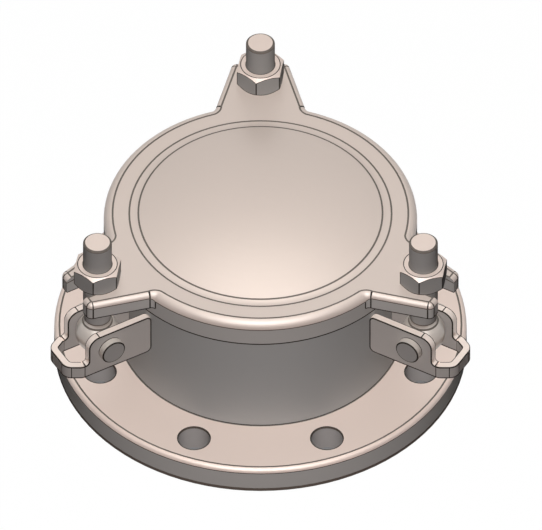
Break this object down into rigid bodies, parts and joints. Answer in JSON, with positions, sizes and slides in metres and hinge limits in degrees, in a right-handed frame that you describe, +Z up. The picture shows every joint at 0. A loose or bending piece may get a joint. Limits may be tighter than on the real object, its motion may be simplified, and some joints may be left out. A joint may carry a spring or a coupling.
{
  "type": "inspection hatch",
  "caption": "Flanged inspection hatch: short pipe neck closed by a dished lid with forked ears, held by swing eyebolts that pivot in folded strap brackets.",
  "frame": {"origin": "centre of the bolting flange's underside, on the neck axis", "axes": "+Z up the neck towards the lid, +Y towards the rear eyebolt, +X to the right of the picture"},
  "size_m": [0.2898, 0.3047, 0.1655],
  "materials": {
    "neck_steel": "satin, warm grey",
    "lid_casting": "satin, warm grey",
    "strap_steel": "satin",
    "bolt_steel": "turned, satin",
    "gasket_rubber": "matt black"
  },
  "bodies": {
    "hatch": {"flange": "neck_steel", "neck": "neck_steel", "lid": "lid_casting", "gasket": "gasket_rubber", "bracket_rear": "strap_steel", "bracket_left": "strap_steel", "bracket_right": "strap_steel", "pin_rear": "bolt_steel", "pin_left": "bolt_steel", "pin_right": "bolt_steel"},
    "swing_bolt_rear": {"eyebolt_rear": "bolt_steel"},
    "swing_bolt_left": {"eyebolt_left": "bolt_steel"},
    "swing_bolt_right": {"eyebolt_right": "bolt_steel"},
    "clamp_nut_rear": {"nut_rear": "bolt_steel"},
    "clamp_nut_left": {"nut_left": "bolt_steel"},
    "clamp_nut_right": {"nut_right": "bolt_steel"}
  },
  "joints": [
    {"name": "swing_rear", "type": "hinge", "parent": "hatch", "child": "swing_bolt_rear", "pos_m": [0, 0.13, 0.0775], "axis": [-1, 0, 0], "range_deg": [0, 80]},
    {"name": "swing_left", "type": "hinge", "parent": "hatch", "child": "swing_bolt_left", "pos_m": [-0.11258, -0.065, 0.0775], "axis": [0.5, -0.866, 0], "range_deg": [0, 80]},
    {"name": "swing_right", "type": "hinge", "parent": "hatch", "child": "swing_bolt_right", "pos_m": [0.11258, -0.065, 0.0775], "axis": [0.5, 0.866, 0], "range_deg": [0, 80]},
    {"name": "nut_travel_rear", "type": "slide", "parent": "swing_bolt_rear", "child": "clamp_nut_rear", "axis": [0, 0, 1], "range_m": [0, 0.021]},
    {"name": "nut_travel_left", "type": "slide", "parent": "swing_bolt_left", "child": "clamp_nut_left", "axis": [0, 0, 1], "range_m": [0, 0.021]},
    {"name": "nut_travel_right", "type": "slide", "parent": "swing_bolt_right", "child": "clamp_nut_right", "axis": [0, 0, 1], "range_m": [0, 0.021]}
  ],
  "couplings": [
    {"joint": "nut_travel_rear", "follows": "swing_rear", "m_per_rad": 0.015},
    {"joint": "nut_travel_left", "follows": "swing_left", "m_per_rad": 0.015},
    {"joint": "nut_travel_right", "follows": "swing_right", "m_per_rad": 0.015}
  ]
}
